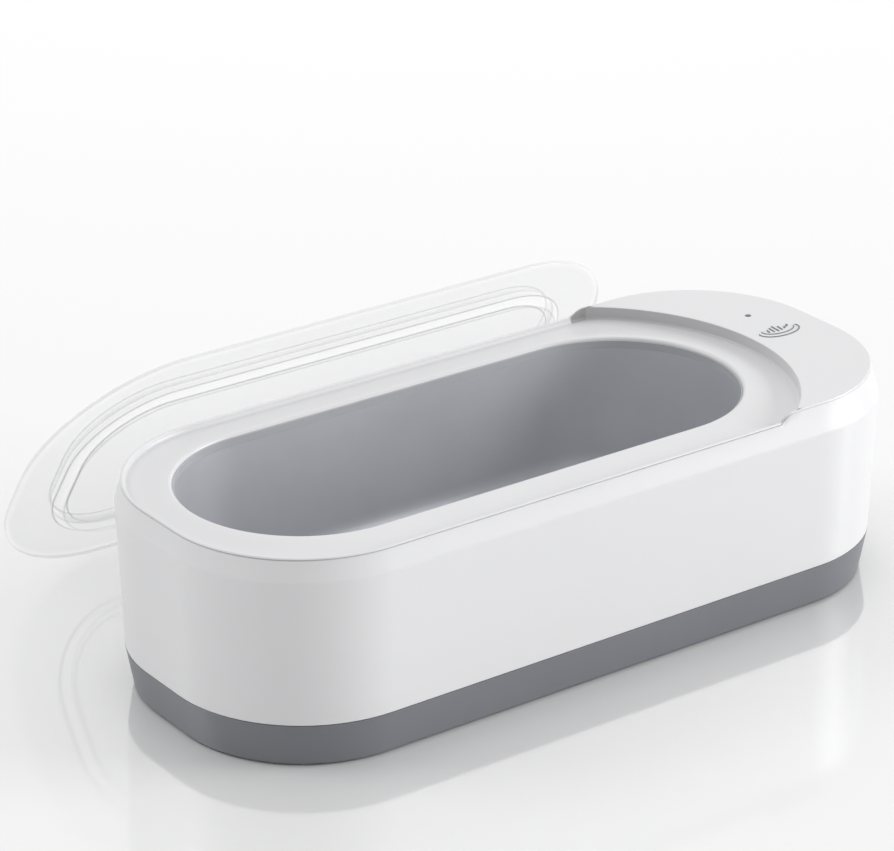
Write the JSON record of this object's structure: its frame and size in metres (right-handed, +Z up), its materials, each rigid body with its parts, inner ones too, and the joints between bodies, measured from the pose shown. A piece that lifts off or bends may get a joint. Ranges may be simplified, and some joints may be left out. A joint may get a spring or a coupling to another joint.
{
  "type": "ultrasonic cleaner",
  "caption": "Small bench ultrasonic cleaner for jewellery: white moulded body on a grey base, steel tank, touch panel at one end, and a loose clear lid leaning behind it.",
  "frame": {"origin": "on the ground, at the middle of the footprint of the body and the lid that leans behind it; the body's own middle is 23.5 mm in front of it", "axes": "+X along the body towards the control panel, +Y to the rear, where the lid leans, +Z up"},
  "size_m": [0.2, 0.1332, 0.0696],
  "materials": {
    "white_shell": "satin moulded white ABS",
    "grey_base": "fine moulded grey ABS",
    "tank_steel": "satin pressed stainless steel",
    "clear_lid": "polished clear plastic",
    "silicone": "soft matte silicone",
    "foot_rubber": "matte rubber",
    "screw_steel": "zinc plated",
    "epoxy": "cured epoxy",
    "ceramic": "silvered piezo ceramic",
    "circuit_board": "solder mask over glass fibre board",
    "ferrite": "pressed ferrite",
    "yellow_tape": "wound polyester tape",
    "copper_wire": "enamelled copper",
    "black_sleeve": "shrink sleeve",
    "film_case": "dipped resin",
    "heat_sink_metal": "extruded",
    "black_epoxy": "moulded package",
    "led_body": "clear resin",
    "lens_plastic": "smoked, polished",
    "black_plastic": "fine moulded",
    "inlet_brass": "turned",
    "red_wire": "extruded insulation",
    "black_wire": "extruded insulation",
    "grey_wire": "extruded insulation"
  },
  "bodies": {
    "body": {"upper_shell": "white_shell", "base_shell": "grey_base", "tank": "tank_steel", "tank_seal": "silicone", "foot_front_left": "foot_rubber", "foot_front_right": "foot_rubber", "foot_rear_left": "foot_rubber", "foot_rear_right": "foot_rubber", "base_screw_front_left": "screw_steel", "base_screw_front_right": "screw_steel", "base_screw_rear_left": "screw_steel", "base_screw_rear_right": "screw_steel", "transducer_bond": "epoxy", "transducer_disc": "ceramic", "driver_board": "circuit_board", "transformer_core": "ferrite", "transformer_winding": "yellow_tape", "choke": "copper_wire", "bulk_capacitor": "black_sleeve", "film_capacitor": "film_case", "heat_sink": "heat_sink_metal", "power_transistor": "black_epoxy", "driver_board_screw_front": "screw_steel", "driver_board_screw_rear": "screw_steel", "panel_board": "circuit_board", "panel_board_screw_front": "screw_steel", "panel_board_screw_rear": "screw_steel", "indicator_led": "led_body", "indicator_lens": "lens_plastic", "touch_spring": "copper_wire", "inlet_housing": "black_plastic", "inlet_pin": "inlet_brass", "inlet_nut": "screw_steel", "transducer_lead_hot": "red_wire", "transducer_lead_ground": "black_wire", "inlet_lead_hot": "red_wire", "inlet_lead_ground": "black_wire", "panel_harness": "grey_wire"},
    "lid": {"lid": "clear_lid"}
  },
  "joints": [
    {"name": "lid_turn", "type": "hinge", "parent": "body", "child": "lid", "pos_m": [0, 0.0144, 0.0617], "axis": [1, 0, 0], "range_deg": [0, 235.4]}
  ]
}
